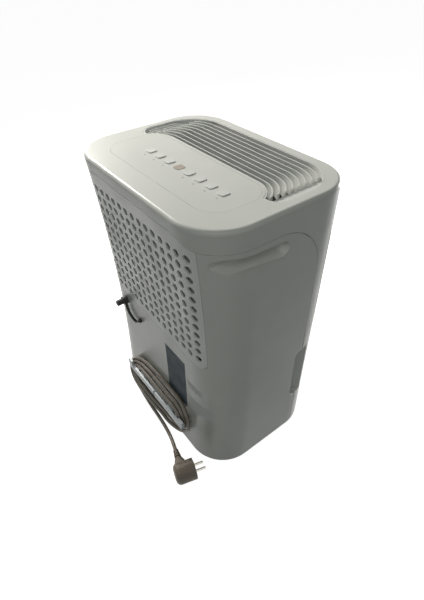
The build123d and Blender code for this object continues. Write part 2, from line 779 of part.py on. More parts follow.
def tank_front():
    zone = block(-BIG, BIG, -BIG, SIDE_SEAM_Y - SEAM_GAP, 0, TANK_TOP_Z - SEAM_GAP)
    low_cut = block(-BIG, BIG, -BIG, BIG, 0, FLOOR_GAP + FIT_GAP)
    face = (skin(0, TANK_FACE_T) & zone) - low_cut
    hollow = slot_wedge(0)
    pocket = slot_wedge(TANK_FACE_T) - hollow
    wing = pocket & OUTER & zone
    tongue_zone = block(-BIG, 0, SIDE_SEAM_Y - TANK_FACE_T, SLOT_BACK_Y - SEAT_GAP, 0, BIG)
    tongue = pocket & housing_body(WALL + SEAM_GAP) & tongue_zone
    grip = wing + tongue
    face = face - hollow - mirrored(hollow) + grip + mirrored(grip)
    for z in (PAN_TOP_Z + 4 * TANK_RIB_T, TANK_HIGH_Z - 4 * TANK_RIB_T):
        face += (housing_body(TANK_FACE_T / 2)
                 & block(-TANK_RIB_X, TANK_RIB_X, -BIG, TANK_FRONT_Y - FIT_GAP, z, z + TANK_RIB_T))
    gauge = xz_prism(gauge_outline(FIT_GAP), -BIG, TANK_FRONT_Y - FIT_GAP)
    return face - gauge


def gauge_outline(grow):
    return rounded(-GAUGE_W / 2 - grow, GAUGE_W / 2 + grow, GAUGE_LOW_Z - grow, GAUGE_HIGH_Z + grow,
                   GAUGE_W / 2 - 0.5 + grow)


def level_window():
    return skin(FIT_GAP, TANK_FACE_T) & xz_prism(gauge_outline(0), -BIG, TANK_FRONT_Y - FIT_GAP)


def tank_plan(inset):
    return rounded(-TANK_HALF_X + inset, TANK_HALF_X - inset, TANK_FRONT_Y + inset, TANK_BACK_Y - inset,
                   TANK_R - inset)


def water_tank():
    low = PAN_TOP_Z + FIT_GAP
    tub = xy_prism(tank_plan(0), low, TANK_HIGH_Z) - xy_prism(tank_plan(TANK_WALL), low + TANK_WALL, BIG)
    return fillet(tub.faces().sort_by(Axis.Z)[0].edges(), TANK_WALL)


def tank_lid():
    lid = xy_prism(tank_plan(0), TANK_HIGH_Z, TANK_HIGH_Z + LID_T)
    lid += xy_prism(tank_plan(TANK_WALL + FIT_GAP) - tank_plan(2 * TANK_WALL + FIT_GAP),
                    TANK_HIGH_Z - 2 * LID_T,
                    TANK_HIGH_Z)
    lid -= xy_prism(Pos(0, DRIP_Y) * RectangleRounded(LID_INLET_X, LID_INLET_Y, TANK_R / 2), 0, BIG)
    reach = EAR_REACH
    for x in ear_places():
        ear = block(x - EAR_T / 2, x + EAR_T / 2, FLOAT_AXLE_Y - reach, FLOAT_AXLE_Y + reach,
                    FLOAT_AXLE_Z - reach, TANK_HIGH_Z)
        lid += ear - rod_x(FLOAT_AXLE_Y, FLOAT_AXLE_Z, FLOAT_AXLE_R + RUN_GAP, -BIG, BIG)
    return lid


def ear_places():
    half = FLOAT_W / 2 + EAR_T
    return (FLOAT_X - half, FLOAT_X + half)


def tank_float():
    low_x, high_x = ear_places()
    axle = rod_x(FLOAT_AXLE_Y, FLOAT_AXLE_Z, FLOAT_AXLE_R, low_x - EAR_T, high_x + EAR_T)
    body = block(FLOAT_X - FLOAT_W / 2, FLOAT_X + FLOAT_W / 2, FLOAT_Y0, FLOAT_Y1,
                 FLOAT_AXLE_Z - FLOAT_H * 1.5,
                 FLOAT_AXLE_Z - FLOAT_H / 2)
    body = fillet(body.edges().filter_by(Axis.X), FLOAT_ARM_T)
    for x in (FLOAT_X - FLOAT_W / 4, FLOAT_X + FLOAT_W / 4):
        side = make_face(Polyline((FLOAT_AXLE_Y + FLOAT_ARM_T, FLOAT_AXLE_Z),
                                  (FLOAT_AXLE_Y, FLOAT_AXLE_Z - FLOAT_ARM_T),
                                  (FLOAT_Y1 - FLOAT_ARM_T, FLOAT_AXLE_Z - FLOAT_H),
                                  (FLOAT_Y1 - FLOAT_ARM_T, FLOAT_AXLE_Z - FLOAT_H / 2),
                                  (FLOAT_AXLE_Y, FLOAT_AXLE_Z + FLOAT_ARM_T), close=True))
        body += yz_prism(side, x - FLOAT_ARM_T / 2, x + FLOAT_ARM_T / 2)
    return body + axle


def float_switch():
    return block(FLOAT_X - FLOAT_H / 2, FLOAT_X + FLOAT_H / 2, BULKHEAD_Y, BULKHEAD_Y + FLOAT_H / 2,
                 FLOAT_AXLE_Z - FLOAT_H, FLOAT_AXLE_Z)


def coil(y0, y1):
    """Finned block between two end plates that stand in the drip tray."""
    count = int(2 * COIL_HALF_X / FIN_PITCH)
    comb = Pos(0, (y0 + y1) / 2) * Rectangle(2 * COIL_HALF_X, y1 - y0 - 2 * FIN_DEPTH)
    for index in range(count):
        x = (index - (count - 1) / 2) * FIN_PITCH
        comb += Pos(x, (y0 + y1) / 2) * Rectangle(FIN_T, y1 - y0)
    block_of_fins = xy_prism(comb, COIL_LOW_Z, COIL_HIGH_Z)
    for side in (-1, 1):
        inner, outer = sorted((side * COIL_HALF_X, side * (COIL_HALF_X + COIL_PLATE_T)))
        block_of_fins += block(inner, outer, y0, y1, DECK_TOP_Z + TRAY_T, COIL_HIGH_Z + COIL_PLATE_T)
    return block_of_fins


def coil_bends(y0, y1):
    """Return bends of the coil's tubes, outside the left and right end plates."""
    bends = []
    end_x = COIL_HALF_X + COIL_PLATE_T
    y = (y0 + y1) / 2
    for side in (-1, 1):
        for index in range(BEND_COUNT):
            z = BEND_FIRST_Z + (index + (0 if side < 0 else 0.5)) * BEND_STEP_Z
            path = ThreePointArc((side * end_x, y, z - BEND_R), (side * (end_x + BEND_R), y, z),
                                 (side * end_x, y, z + BEND_R))
            bends.append(sweep(Plane(path @ 0, z_dir=path % 0) * Circle(TUBE_R), path))
    return bends


def drip_tray():
    low = DECK_TOP_Z
    tray = block(-TRAY_HALF_X, TRAY_HALF_X, TRAY_Y0, TRAY_Y1, low, low + TRAY_H)
    tray += block(-CHANNEL_HALF_X, CHANNEL_HALF_X, DRIP_Y - CHANNEL_HALF_X, TRAY_Y0 + TRAY_T,
                  low, low + CHANNEL_H)
    tray -= block(-TRAY_HALF_X + TRAY_T, TRAY_HALF_X - TRAY_T, TRAY_Y0 + TRAY_T, TRAY_Y1 - TRAY_T,
                  low + TRAY_T, BIG)
    tray -= block(-CHANNEL_HALF_X + TRAY_T, CHANNEL_HALF_X - TRAY_T, DRIP_Y - CHANNEL_HALF_X + TRAY_T,
                  TRAY_Y0 + 2 * TRAY_T, low + TRAY_T, BIG)
    tray += rod_z(0, DRIP_Y, SPOUT_R, low - SPOUT_LENGTH, low + TRAY_T)
    tray -= rod_z(0, DRIP_Y, SPOUT_R - TRAY_T, 0, BIG)
    return tray - rod_z(DRAIN_X, DRAIN_DROP_Y, DRAIN_BORE_R, 0, BIG)


def compressor():
    low = PAN_TOP_Z + GROMMET_H
    base = low + COMPRESSOR_FOOT_T
    top = base + COMPRESSOR_H
    neck = COMPRESSOR_R * 0.45
    outline = [
        Line((0, base), (neck, base)),
        ThreePointArc((neck, base), (COMPRESSOR_R * 0.86, base + COMPRESSOR_DOME * 0.3),
                      (COMPRESSOR_R, base + COMPRESSOR_DOME)),
        Line((COMPRESSOR_R, base + COMPRESSOR_DOME), (COMPRESSOR_R, top - COMPRESSOR_DOME)),
        ThreePointArc((COMPRESSOR_R, top - COMPRESSOR_DOME),
                      (COMPRESSOR_R * 0.86, top - COMPRESSOR_DOME * 0.3),
                      (neck, top)),
        Line((neck, top), (0, top)),
        Line((0, top), (0, base)),
    ]
    can = revolve(Plane.XZ * make_face(outline), Axis.Z)
    foot = Circle(GROMMET_CIRCLE_R + GROMMET_R * 0.2)
    for angle in grommet_angles():
        foot += Rot(0, 0, angle) * Pos(GROMMET_CIRCLE_R, 0) * Circle(GROMMET_R)
    plate = xy_prism(foot & Rectangle(2 * COMPRESSOR_R + 2 * GROMMET_R, 2 * COMPRESSOR_R), low, base)
    can += plate
    can += block(COMPRESSOR_R * 0.8, COMPRESSOR_R + TERMINAL_D, -TERMINAL_W / 2, TERMINAL_W / 2,
                 base + COMPRESSOR_H / 2, base + COMPRESSOR_H / 2 + TERMINAL_H)
    return Pos(COMPRESSOR_X, COMPRESSOR_Y, 0) * can


def grommet_angles():
    return (0, 120, 240)


def compressor_grommets():
    grommets = []
    for angle in grommet_angles():
        x = COMPRESSOR_X + GROMMET_CIRCLE_R * math.cos(math.radians(angle))
        y = COMPRESSOR_Y + GROMMET_CIRCLE_R * math.sin(math.radians(angle))
        grommets.append(rod_z(x, y, GROMMET_R * 0.8, PAN_TOP_Z, PAN_TOP_Z + GROMMET_H))
    return grommets


def compressor_top_z():
    return PAN_TOP_Z + GROMMET_H + COMPRESSOR_FOOT_T + COMPRESSOR_H


def accumulator():
    can = rod_z(ACCUMULATOR_X, COMPRESSOR_Y, ACCUMULATOR_R, ACCUMULATOR_Z, ACCUMULATOR_Z + ACCUMULATOR_H)
    can = fillet(can.edges().group_by(Axis.Z)[0] + can.edges().group_by(Axis.Z)[-1], ACCUMULATOR_R / 2)
    leg = rod_z(ACCUMULATOR_X, COMPRESSOR_Y, PIPE_R, PAN_TOP_Z, ACCUMULATOR_Z + PIPE_R)
    return can + leg


def run_capacitor():
    can = rod_z(CAPACITOR_X, CAPACITOR_Y, CAPACITOR_R, PAN_TOP_Z, PAN_TOP_Z + CAPACITOR_H)
    return fillet(can.edges().group_by(Axis.Z)[-1], WALL)


def tube(points, bend_r, radius):
    path = FilletPolyline(*points, radius=bend_r)
    return sweep(Plane(path @ 0, z_dir=path % 0) * Circle(radius), path)


def discharge_points():
    top = compressor_top_z()
    x = COMPRESSOR_X - COMPRESSOR_R * 0.3
    side_x = -(COIL_HALF_X + 28)
    y = (CONDENSER_Y0 + CONDENSER_Y1) / 2
    return [(x, COMPRESSOR_Y, top), (x, COMPRESSOR_Y, top + 26), (side_x, y, top + 26),
            (side_x, y, COIL_HIGH_Z - 10),
            (-COIL_HALF_X - COIL_PLATE_T, y, COIL_HIGH_Z - 10)]


def suction_points():
    top = ACCUMULATOR_Z + ACCUMULATOR_H
    side_x = COIL_HALF_X + 28
    y = (EVAPORATOR_Y0 + EVAPORATOR_Y1) / 2
    under = top + 70
    over = COIL_LOW_Z - 8
    return [(ACCUMULATOR_X, COMPRESSOR_Y, top), (ACCUMULATOR_X, COMPRESSOR_Y, under),
            (side_x, COMPRESSOR_Y, under), (side_x, COMPRESSOR_Y, over), (side_x, y, over),
            (side_x, y, over + 32), (COIL_HALF_X + COIL_PLATE_T, y, over + 32)]


def liquid_points():
    y = (CONDENSER_Y0 + CONDENSER_Y1) / 2
    return [(COIL_HALF_X + COIL_PLATE_T, y, COIL_LOW_Z + 6), (DRIER_X, y, COIL_LOW_Z + 6),
            (DRIER_X, y, DRIER_Z0)]


def filter_drier():
    y = (CONDENSER_Y0 + CONDENSER_Y1) / 2
    can = rod_z(DRIER_X, y, DRIER_R, DRIER_Z0, DRIER_Z1)
    return fillet(can.edges().group_by(Axis.Z)[0] + can.edges().group_by(Axis.Z)[-1], DRIER_R / 2)


def capillary_points():
    y = (CONDENSER_Y0 + CONDENSER_Y1) / 2
    end_y = (EVAPORATOR_Y0 + EVAPORATOR_Y1) / 2
    return [(DRIER_X, y, DRIER_Z1), (DRIER_X, y, CAPILLARY_Z), (DRIER_X, end_y, CAPILLARY_Z),
            (COIL_HALF_X + COIL_PLATE_T, end_y, CAPILLARY_Z)]


def scroll_plan(inset):
    ring = Pos(0, FAN_Z) * Circle(SCROLL_R - inset)
    neck = Pos((SCROLL_NECK_X - SCROLL_R) / 2, (FAN_Z + SCROLL_TOP_Z) / 2) * Rectangle(
        SCROLL_NECK_X + SCROLL_R - 2 * inset, SCROLL_TOP_Z - FAN_Z)
    return ring + neck


def fan_scroll():
    scroll = xz_prism(scroll_plan(0), SCROLL_Y0, SCROLL_Y1)
    scroll -= xz_prism(scroll_plan(SCROLL_T), SCROLL_Y0 + SCROLL_T, SCROLL_Y1 - SCROLL_T)
    mouth = block(-SCROLL_R + SCROLL_T, SCROLL_NECK_X - SCROLL_T, SCROLL_Y0 + SCROLL_T, SCROLL_Y1 - SCROLL_T,
                  SCROLL_TOP_Z - SCROLL_R / 2, BIG)
    scroll -= mouth
    scroll -= rod_y(0, FAN_Z, SCROLL_INLET_R, SCROLL_Y1 - 2 * SCROLL_T, BIG)
    scroll -= rod_y(0, FAN_Z, MOTOR_HOLE_R, -BIG, SCROLL_Y0 + 2 * SCROLL_T)
    for x, z in motor_screw_places():
        scroll -= rod_y(x, z, MOTOR_SCREW_R + FIT_GAP, -BIG, SCROLL_Y0 + 2 * SCROLL_T)
    foot_top = FAN_Z - SCROLL_R * 0.9
    for side in (-1, 1):
        x = side * SCROLL_R * 0.4
        foot = block(x - 6, x + 6, SCROLL_Y0, SCROLL_Y1, DECK_TOP_Z, foot_top)
        scroll += foot - xz_prism(scroll_plan(SCROLL_T / 2), -BIG, BIG)
    return scroll


def motor_screw_places():
    places = []
    for angle in (45, 135, 225, 315):
        places.append((MOTOR_SCREW_CIRCLE_R * math.cos(math.radians(angle)),
                       FAN_Z + MOTOR_SCREW_CIRCLE_R * math.sin(math.radians(angle))))
    return places


def fan_motor():
    flange_back = SCROLL_Y0
    flange_front = flange_back - MOTOR_FLANGE_T
    motor = rod_y(0, FAN_Z, MOTOR_FLANGE_R, flange_front, flange_back)
    can = rod_y(0, FAN_Z, MOTOR_R, MOTOR_Y0, flange_front)
    motor += fillet(can.edges().group_by(Axis.Y)[0], MOTOR_R / 6)
    motor -= rod_y(0, FAN_Z, SHAFT_R + RUN_GAP, MOTOR_Y0 + 2 * WALL, BIG)
    for x, z in motor_screw_places():
        motor -= rod_y(x, z, MOTOR_SCREW_R + FIT_GAP, -BIG, BIG)
    return motor


def motor_screws():
    head_back = SCROLL_Y0 - MOTOR_FLANGE_T
    screws = []
    for x, z in motor_screw_places():
        head = rod_y(x, z, MOTOR_SCREW_HEAD_R, head_back - MOTOR_SCREW_R, head_back)
        screws.append(head + rod_y(x, z, MOTOR_SCREW_R, head_back, SCROLL_Y0 + 2 * SCROLL_T))
    return screws


def wheel_blade_plan():
    """Forward-curved blade section: an arc of even thickness between the wheel's inner and outer rings."""
    bow = WHEEL_BLADE_CHORD * math.tan(math.radians(WHEEL_BLADE_TURN) / 4) / 2
    root = WHEEL_R - WHEEL_BLADE_CHORD
    half = WHEEL_BLADE_T / 2
    middle = (root + WHEEL_R) / 2
    return make_face([
        ThreePointArc((root, -half), (middle, -half - bow), (WHEEL_R, -half)),
        Line((WHEEL_R, -half), (WHEEL_R, half)),
        ThreePointArc((WHEEL_R, half), (middle, half - bow), (root, half)),
        Line((root, half), (root, -half)),
    ])


def fan_wheel():
    blades = Sketch()
    for index in range(WHEEL_BLADES):
        blades += Pos(0, FAN_Z) * Rot(0, 0, 360 * index / WHEEL_BLADES) * wheel_blade_plan()
    disc = Pos(0, FAN_Z) * Circle(WHEEL_R)
    ring = disc - Pos(0, FAN_Z) * Circle(WHEEL_R - WHEEL_RING_W)
    wheel = xz_prism(blades, WHEEL_Y0 + WHEEL_PLATE_T, WHEEL_Y1 - WHEEL_PLATE_T)
    wheel += xz_prism(disc, WHEEL_Y0, WHEEL_Y0 + WHEEL_PLATE_T)
    wheel += xz_prism(ring, WHEEL_Y1 - WHEEL_PLATE_T, WHEEL_Y1)
    wheel += rod_y(0, FAN_Z, WHEEL_HUB_R, WHEEL_Y0, WHEEL_Y0 + WHEEL_HUB_H)
    return wheel - rod_y(0, FAN_Z, SHAFT_R + RUN_GAP, -BIG, BIG)


def fan_shaft():
    shaft = rod_y(0, FAN_Z, SHAFT_R, MOTOR_Y0 + 3 * WALL, WHEEL_Y0 + WHEEL_HUB_H + SHAFT_R)
    nut_y = WHEEL_Y0 + WHEEL_HUB_H
    nut = xz_prism(Pos(0, FAN_Z) * RegularPolygon(2 * SHAFT_R, 6), nut_y, nut_y + SHAFT_R)
    return shaft + nut


def drain_outlet():
    wall_y = rear_y(DRAIN_Z)
    path = FilletPolyline((DRAIN_X, wall_y, DRAIN_Z), (DRAIN_X, DRAIN_DROP_Y, DRAIN_Z),
                          (DRAIN_X, DRAIN_DROP_Y, DECK_TOP_Z), radius=PIPE_BEND_R)
    start = Plane(path @ 0, z_dir=path % 0)
    pipe = sweep(start * Circle(DRAIN_BORE_R + DRAIN_WALL), path)
    pipe += rod_y(DRAIN_X, DRAIN_Z, DRAIN_FLANGE_R, wall_y - WALL, wall_y)
    return pipe - sweep(start * Circle(DRAIN_BORE_R), path)


def drain_plug():
    """Rubber plug, its strap and the strap's button in one moulding."""
    wall_y = rear_y(DRAIN_Z) + FIT_GAP
    head_end = wall_y + PLUG_HEAD_L
    plug = rod_y(DRAIN_X, DRAIN_Z, DRAIN_BORE_R - RUN_GAP, wall_y - PLUG_STEM_L, wall_y)
    plug += rod_y(DRAIN_X, DRAIN_Z, PLUG_HEAD_R, wall_y, head_end)
    grip = rod_y(DRAIN_X, DRAIN_Z, PLUG_GRIP_R, head_end, head_end + PLUG_GRIP_L)
    plug += fillet(grip.edges().group_by(Axis.Y)[-1], PLUG_GRIP_R / 4)
    anchor_x, anchor_z = STRAP_ANCHOR
    anchor_y = rear_y(anchor_z) + FIT_GAP
    plug += rod_y(anchor_x, anchor_z, STRAP_ANCHOR_R, anchor_y, anchor_y + STRAP_T * 2)
    plug += rod_y(anchor_x, anchor_z, STRAP_ANCHOR_R / 2, anchor_y - 2 * WALL, anchor_y)
    strap_y = wall_y + PLUG_HEAD_L / 2
    start = (DRAIN_X - PLUG_HEAD_R / 2, DRAIN_Z - PLUG_HEAD_R / 2)
    sag = ((DRAIN_X + anchor_x) / 2 + STRAP_W, anchor_z - 2 * STRAP_W)
    centre_line = ThreePointArc(start, sag, (anchor_x, anchor_z))
    band = trace(centre_line, STRAP_T)
    return plug + xz_prism(band, strap_y - STRAP_W / 2, strap_y + STRAP_W / 2) + rod_y(
        anchor_x, anchor_z, STRAP_ANCHOR_R / 2, anchor_y, strap_y + STRAP_W / 2)


def cord_wrap(side):
    """One cord hook: a stem on the wall, a bar along the back and a raised lip at the outer end."""
    bar_y0 = WRAP_BAR_Y
    bar_y1 = bar_y0 + WRAP_BAR_T
    low = WRAP_Z - WRAP_BAR_H / 2
    high = WRAP_Z + WRAP_BAR_H / 2
    outer = WRAP_HALF_X
    face = make_face(Polyline((WRAP_SPLIT, low), (outer - 4, low), (outer, low + 4),
                              (outer, high + WRAP_LIP_H),
                              (outer - WRAP_LIP_W, high + WRAP_LIP_H), (outer - WRAP_LIP_W - 4, high),
                              (WRAP_SPLIT, high), close=True))
    hook = xz_prism(face, bar_y0, bar_y1)
    hook = fillet(hook.edges().group_by(Axis.Y)[-1], 1.2)
    stem = block(WRAP_STEM_X - WRAP_STEM_W / 2, WRAP_STEM_X + WRAP_STEM_W / 2, 0, bar_y0,
                 WRAP_Z - WRAP_STEM_H / 2, WRAP_Z + WRAP_STEM_H / 2)
    if side < 0:
        hook = mirrored(hook)
        stem = mirrored(stem)
    return Pos(WRAP_X, 0, 0) * hook + (Pos(WRAP_X, 0, 0) * stem - OUTER)


def lead_bend():
    return Vector(LEAD_X, LEAD_Y, LEAD_LOW_Z + LEAD_R + LEAD_STRAIGHT)


def relief_direction():
    """Way the cord leaves the wall: down, and slightly outwards."""
    tilt = math.radians(RELIEF_TILT)
    return Vector(0, math.sin(tilt), -math.cos(tilt))


def relief_tip():
    return lead_bend() - relief_direction() * LEAD_FREE


def strain_relief():
    """Tapered relief that slants down out of the wall, with a collar at its root."""
    base = relief_tip() - relief_direction() * RELIEF_L
    plane = Plane(base, x_dir=(1, 0, 0), z_dir=relief_direction())
    taper = plane * Pos(0, 0, RELIEF_L / 2) * Cone(RELIEF_R, RELIEF_TIP_R, RELIEF_L)
    collar = rod_y(base.X, base.Z, RELIEF_COLLAR_R, 0, rear_y(base.Z) + RELIEF_COLLAR_T)
    return (taper + collar) - OUTER


def winding_plane():
    """Plane of the wound turns: its top leans on the wall and its foot stands off it."""
    lean = math.radians(WINDING_LEAN)
    return Plane((0, WINDING_Y, WRAP_Z), x_dir=(1, 0, 0), z_dir=(0, -math.cos(lean), -math.sin(lean)))


def outer_tangent(right_r, left_r, side):
    """Points where the run above (side 1) or below (side -1) touches a right-hand and a left-hand turn."""
    right = Vector(*WINDING_RIGHT)
    left = Vector(*WINDING_LEFT)
    across = left - right
    swing = math.degrees(math.asin((right_r - left_r) / across.length))
    out = across.normalized().rotate(Axis.Z, side * (90 - swing))
    return right + out * right_r, left + out * left_r


def turn_round(centre, start, middle_degrees, end):
    """Arc round a turn's centre through the side that middle_degrees points to."""
    radius = (start - centre).length
    middle = centre + Vector(radius, 0).rotate(Axis.Z, middle_degrees)
    return ThreePointArc(start, middle, end)


def winding_lines(start):
    """Turns round the two hooks, each outside the last, in the winding's own plane."""
    right = Vector(*WINDING_RIGHT)
    left = Vector(*WINDING_LEFT)
    lines = []
    for loop in range(WINDING_LOOPS):
        right_r = WINDING_RIGHT_R + loop * CORD_PITCH
        left_r = WINDING_LEFT_R + loop * CORD_PITCH
        top_right, top_left = outer_tangent(right_r, left_r, 1)
        lines.append(turn_round(right, start, 180, top_right))
        lines.append(Line(top_right, top_left))
        if loop < WINDING_LOOPS - 1:
            low_right, low_left = outer_tangent(right_r + CORD_PITCH, left_r, -1)
            lines.append(turn_round(left, top_left, 0, low_left))
            lines.append(Line(low_left, low_right))
            start = low_right
        else:
            lines.append(turn_round(left, top_left, 45, left + Vector(left_r, 0)))
    return lines


def hank_path():
    """Wound cord: down from the relief behind the turns, up to them, then turn on turn outwards."""
    plane = winding_plane()
    first = Vector(*WINDING_RIGHT) - Vector(0, WINDING_RIGHT_R)
    join = plane.from_local_coords(first)
    centre = Vector(LEAD_X - LEAD_R, LEAD_Y, LEAD_LOW_Z + LEAD_R)
    slope = math.sqrt(0.5) * LEAD_R
    lead_end = centre + Vector(LEAD_R, 0, 0)
    low = centre - Vector(0, 0, LEAD_R)
    lead = FilletPolyline(relief_tip(), lead_bend(), lead_end, radius=LEAD_BEND_R)
    turn = ThreePointArc(lead_end, centre + Vector(slope, 0, -slope), low)
    flat = Vector(CLIMB_FLAT, 0, 0)
    climb = FilletPolyline(low, low - flat, join + flat, join, radius=CLIMB_R)
    turns = [plane * line for line in winding_lines(first)]
    return Wire(lead.edges() + [turn] + climb.edges() + turns)


def round_sweep(path):
    start = path @ 0
    return sweep(Plane(start, z_dir=path % 0) * Circle(CORD_R), path)


def plug_axes():
    cord = Vector(*PLUG_CORD_DIR).normalized()
    pins = Vector(0, 0, 1).cross(cord) * -1
    return cord, pins


def plug_plane():
    cord, pins = plug_axes()
    return Plane(PLUG_CENTRE, x_dir=cord, z_dir=pins)


def tail_path(start, heading):
    cord, _ = plug_axes()
    neck = Vector(*PLUG_CENTRE) + cord * PLUG_NECK_END_X
    points = [start, start + heading * TAIL_FIRST_RUN] + [Vector(*p) for p in TAIL_POINTS]
    points += [neck + cord * TAIL_LAST_RUN, neck]
    radii = []
    for before, here, after in zip(points, points[1:], points[2:]):
        run_in = here - before
        run_out = after - here
        half_turn = math.radians(run_in.get_angle(run_out)) / 2
        radii.append(0.45 * min(run_in.length, run_out.length) / math.tan(half_turn))
    print("tail radii", [round(r, 1) for r in radii])
    return FilletPolyline(*points, radius=radii)


def plug_body():
    face = Pos(0, 0, (PLUG_FACE_Z + PLUG_BACK_Z) / 2) * Cylinder(PLUG_R, PLUG_FACE_Z - PLUG_BACK_Z)
    face = fillet(face.edges().group_by(Axis.Z)[0], PLUG_BACK_R)
    root = Plane((0, 0, 0), x_dir=(0, 1, 0), z_dir=(1, 0, 0)) * RectangleRounded(
        1.7 * PLUG_R, PLUG_FACE_Z - PLUG_BACK_Z - 6, PLUG_R / 4)
    tip = Plane((PLUG_NECK_X, 0, 0), x_dir=(0, 1, 0), z_dir=(1, 0, 0)) * RectangleRounded(
        2.2 * PLUG_NECK_R, 2.2 * PLUG_NECK_R, PLUG_NECK_R * 0.9)
    body = face + loft([root, tip])
    neck_l = PLUG_NECK_END_X - PLUG_NECK_X
    neck = Pos(PLUG_NECK_X + neck_l / 2, 0, 0) * Rot(0, 90, 0) * Cone(PLUG_NECK_R, PLUG_NECK_TIP_R, neck_l)
    for index in range(3):
        x = PLUG_NECK_X + neck_l * (0.25 + 0.25 * index)
        ring = Cylinder(PLUG_NECK_R + 1, 2) - Cylinder(PLUG_NECK_TIP_R - 0.2, 2)
        ring = Pos(x, 0, 0) * Rot(0, 90, 0) * ring
        neck -= ring & (Pos(x, 0, 0) * Box(2, 4 * PLUG_NECK_R, 4 * PLUG_NECK_R))
    body += neck
    for side in (-1, 1):
        socket = Cylinder(PIN_R + RUN_GAP, PIN_SET)
        socket = Pos(side * PIN_SPACING / 2, 0, PLUG_FACE_Z - PIN_SET / 2) * socket
        earth = Pos(0, side * PLUG_R, PLUG_FACE_Z) * Box(EARTH_W, 2 * EARTH_T, 2 * PIN_SET)
        body -= Rot(0, 0, PIN_TURN) * (socket + earth)
    return plug_plane() * body


def plug_pins():
    pins = []
    for side in (-1, 1):
        pin = Pos(side * PIN_SPACING / 2, 0, PLUG_FACE_Z - PIN_SET + (PIN_L + PIN_SET) / 2) * Cylinder(
            PIN_R, PIN_L + PIN_SET)
        pin = fillet(pin.edges().group_by(Axis.Z)[-1], PIN_R * 0.6)
        pins.append(plug_plane() * Rot(0, 0, PIN_TURN) * pin)
    return pins


def path_points(path, step):
    count = int(path.length / step)
    return [path.position_at(i / count) for i in range(count + 1)]


def least_gap(path):
    """Smallest clear distance between turns, on points along the line."""
    step = CORD_R / 2
    points = path_points(path, step)
    skip = int(math.pi * LEAD_R / step)
    least = BIG
    for i, here in enumerate(points):
        for there in points[i + skip::2]:
            least = min(least, (here - there).length)
    return least - 2 * CORD_R


def main():
    hank = hank_path()
    tail = tail_path(hank @ 1, hank % 1)
    hank_tube = round_sweep(hank)
    tail_tube = round_sweep(tail)
    section = math.pi * CORD_R ** 2
    print("hank least gap", round(least_gap(hank), 2))
    for name, path, solid in (("hank", hank, hank_tube), ("tail", tail, tail_tube)):
        print(name, "length", round(path.length, 1), "volume over section times length",
              round(solid.volume / (section * path.length), 4))
    nodes = {
        "rear_shell": rear_shell(),
        "front_shell": front_shell(),
        "front_fascia": front_fascia(),
        "outlet_grille": outlet_grille(),
        "control_panel": control_panel(),
        "control_board": control_board(),
        "board_screws": board_screws(),
        "key_switches": key_switches(),
        "display_window": display_window(),
        "indicator_lights": indicator_lights(),
        "filter_grille": filter_grille(),
        "filter_frame": filter_frame(),
        "filter_mesh": filter_mesh(),
        "base_pan": base_pan(),
        "rubber_feet": rubber_feet(),
        "base_screws": base_screws(),
        "chassis": chassis(),
        "tank_front": tank_front(),
        "level_window": level_window(),
        "water_tank": water_tank(),
        "tank_lid": tank_lid(),
        "tank_float": tank_float(),
        "float_switch": float_switch(),
        "evaporator": coil(EVAPORATOR_Y0, EVAPORATOR_Y1),
        "evaporator_bends": coil_bends(EVAPORATOR_Y0, EVAPORATOR_Y1),
        "condenser": coil(CONDENSER_Y0, CONDENSER_Y1),
        "condenser_bends": coil_bends(CONDENSER_Y0, CONDENSER_Y1),
        "drip_tray": drip_tray(),
        "compressor": compressor(),
        "compressor_grommets": compressor_grommets(),
        "accumulator": accumulator(),
        "discharge_pipe": tube(discharge_points(), PIPE_BEND_R, PIPE_R),
        "suction_pipe": tube(suction_points(), PIPE_BEND_R, PIPE_R),
        "liquid_pipe": tube(liquid_points(), PIPE_BEND_R / 2, PIPE_R * 0.7),
        "filter_drier": filter_drier(),
        "capillary_tube": tube(capillary_points(), PIPE_BEND_R / 2, CAPILLARY_R),
        "run_capacitor": run_capacitor(),
        "fan_scroll": fan_scroll(),
        "fan_motor": fan_motor(),
        "motor_screws": motor_screws(),
        "fan_wheel": fan_wheel(),
        "fan_shaft": fan_shaft(),
        "drain_outlet": drain_outlet(),
        "drain_plug": drain_plug(),
        "left_cord_hook": cord_wrap(1),
        "right_cord_hook": cord_wrap(-1),
        "strain_relief": strain_relief(),
        "cord_hank": hank_tube,
        "cord_tail": tail_tube,
        "plug_body": plug_body(),
        "plug_pins": plug_pins(),
    }
    for number, slot in enumerate(KEY_SLOTS, start=1):
        nodes[f"key_{number}"] = key_button(slot)
    os.makedirs("parts", exist_ok=True)
    for name, shape in nodes.items():
        solid = Compound(children=shape) if isinstance(shape, list) else shape
        export_step(solid, f"parts/{name}.step")


main()
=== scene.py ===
"""Dehumidifier seen from behind and above: camera, finishes, wound mains lead, wall films, lamps."""
import json
import math

import bpy
from mathutils import Matrix, Vector


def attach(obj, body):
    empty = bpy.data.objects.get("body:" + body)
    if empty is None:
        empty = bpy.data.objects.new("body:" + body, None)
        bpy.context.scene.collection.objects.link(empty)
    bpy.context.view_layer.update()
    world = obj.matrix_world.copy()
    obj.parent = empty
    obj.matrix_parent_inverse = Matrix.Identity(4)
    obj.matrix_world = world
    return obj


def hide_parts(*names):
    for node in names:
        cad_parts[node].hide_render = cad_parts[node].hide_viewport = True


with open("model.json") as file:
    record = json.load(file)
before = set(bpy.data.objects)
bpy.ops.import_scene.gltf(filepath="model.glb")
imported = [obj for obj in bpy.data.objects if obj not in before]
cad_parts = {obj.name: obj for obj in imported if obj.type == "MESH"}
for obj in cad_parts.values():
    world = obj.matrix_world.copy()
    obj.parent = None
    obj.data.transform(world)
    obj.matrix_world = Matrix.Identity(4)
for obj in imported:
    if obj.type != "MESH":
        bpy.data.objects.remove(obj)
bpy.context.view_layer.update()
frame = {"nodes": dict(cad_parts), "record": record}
nodes = frame["nodes"]
scene = bpy.context.scene
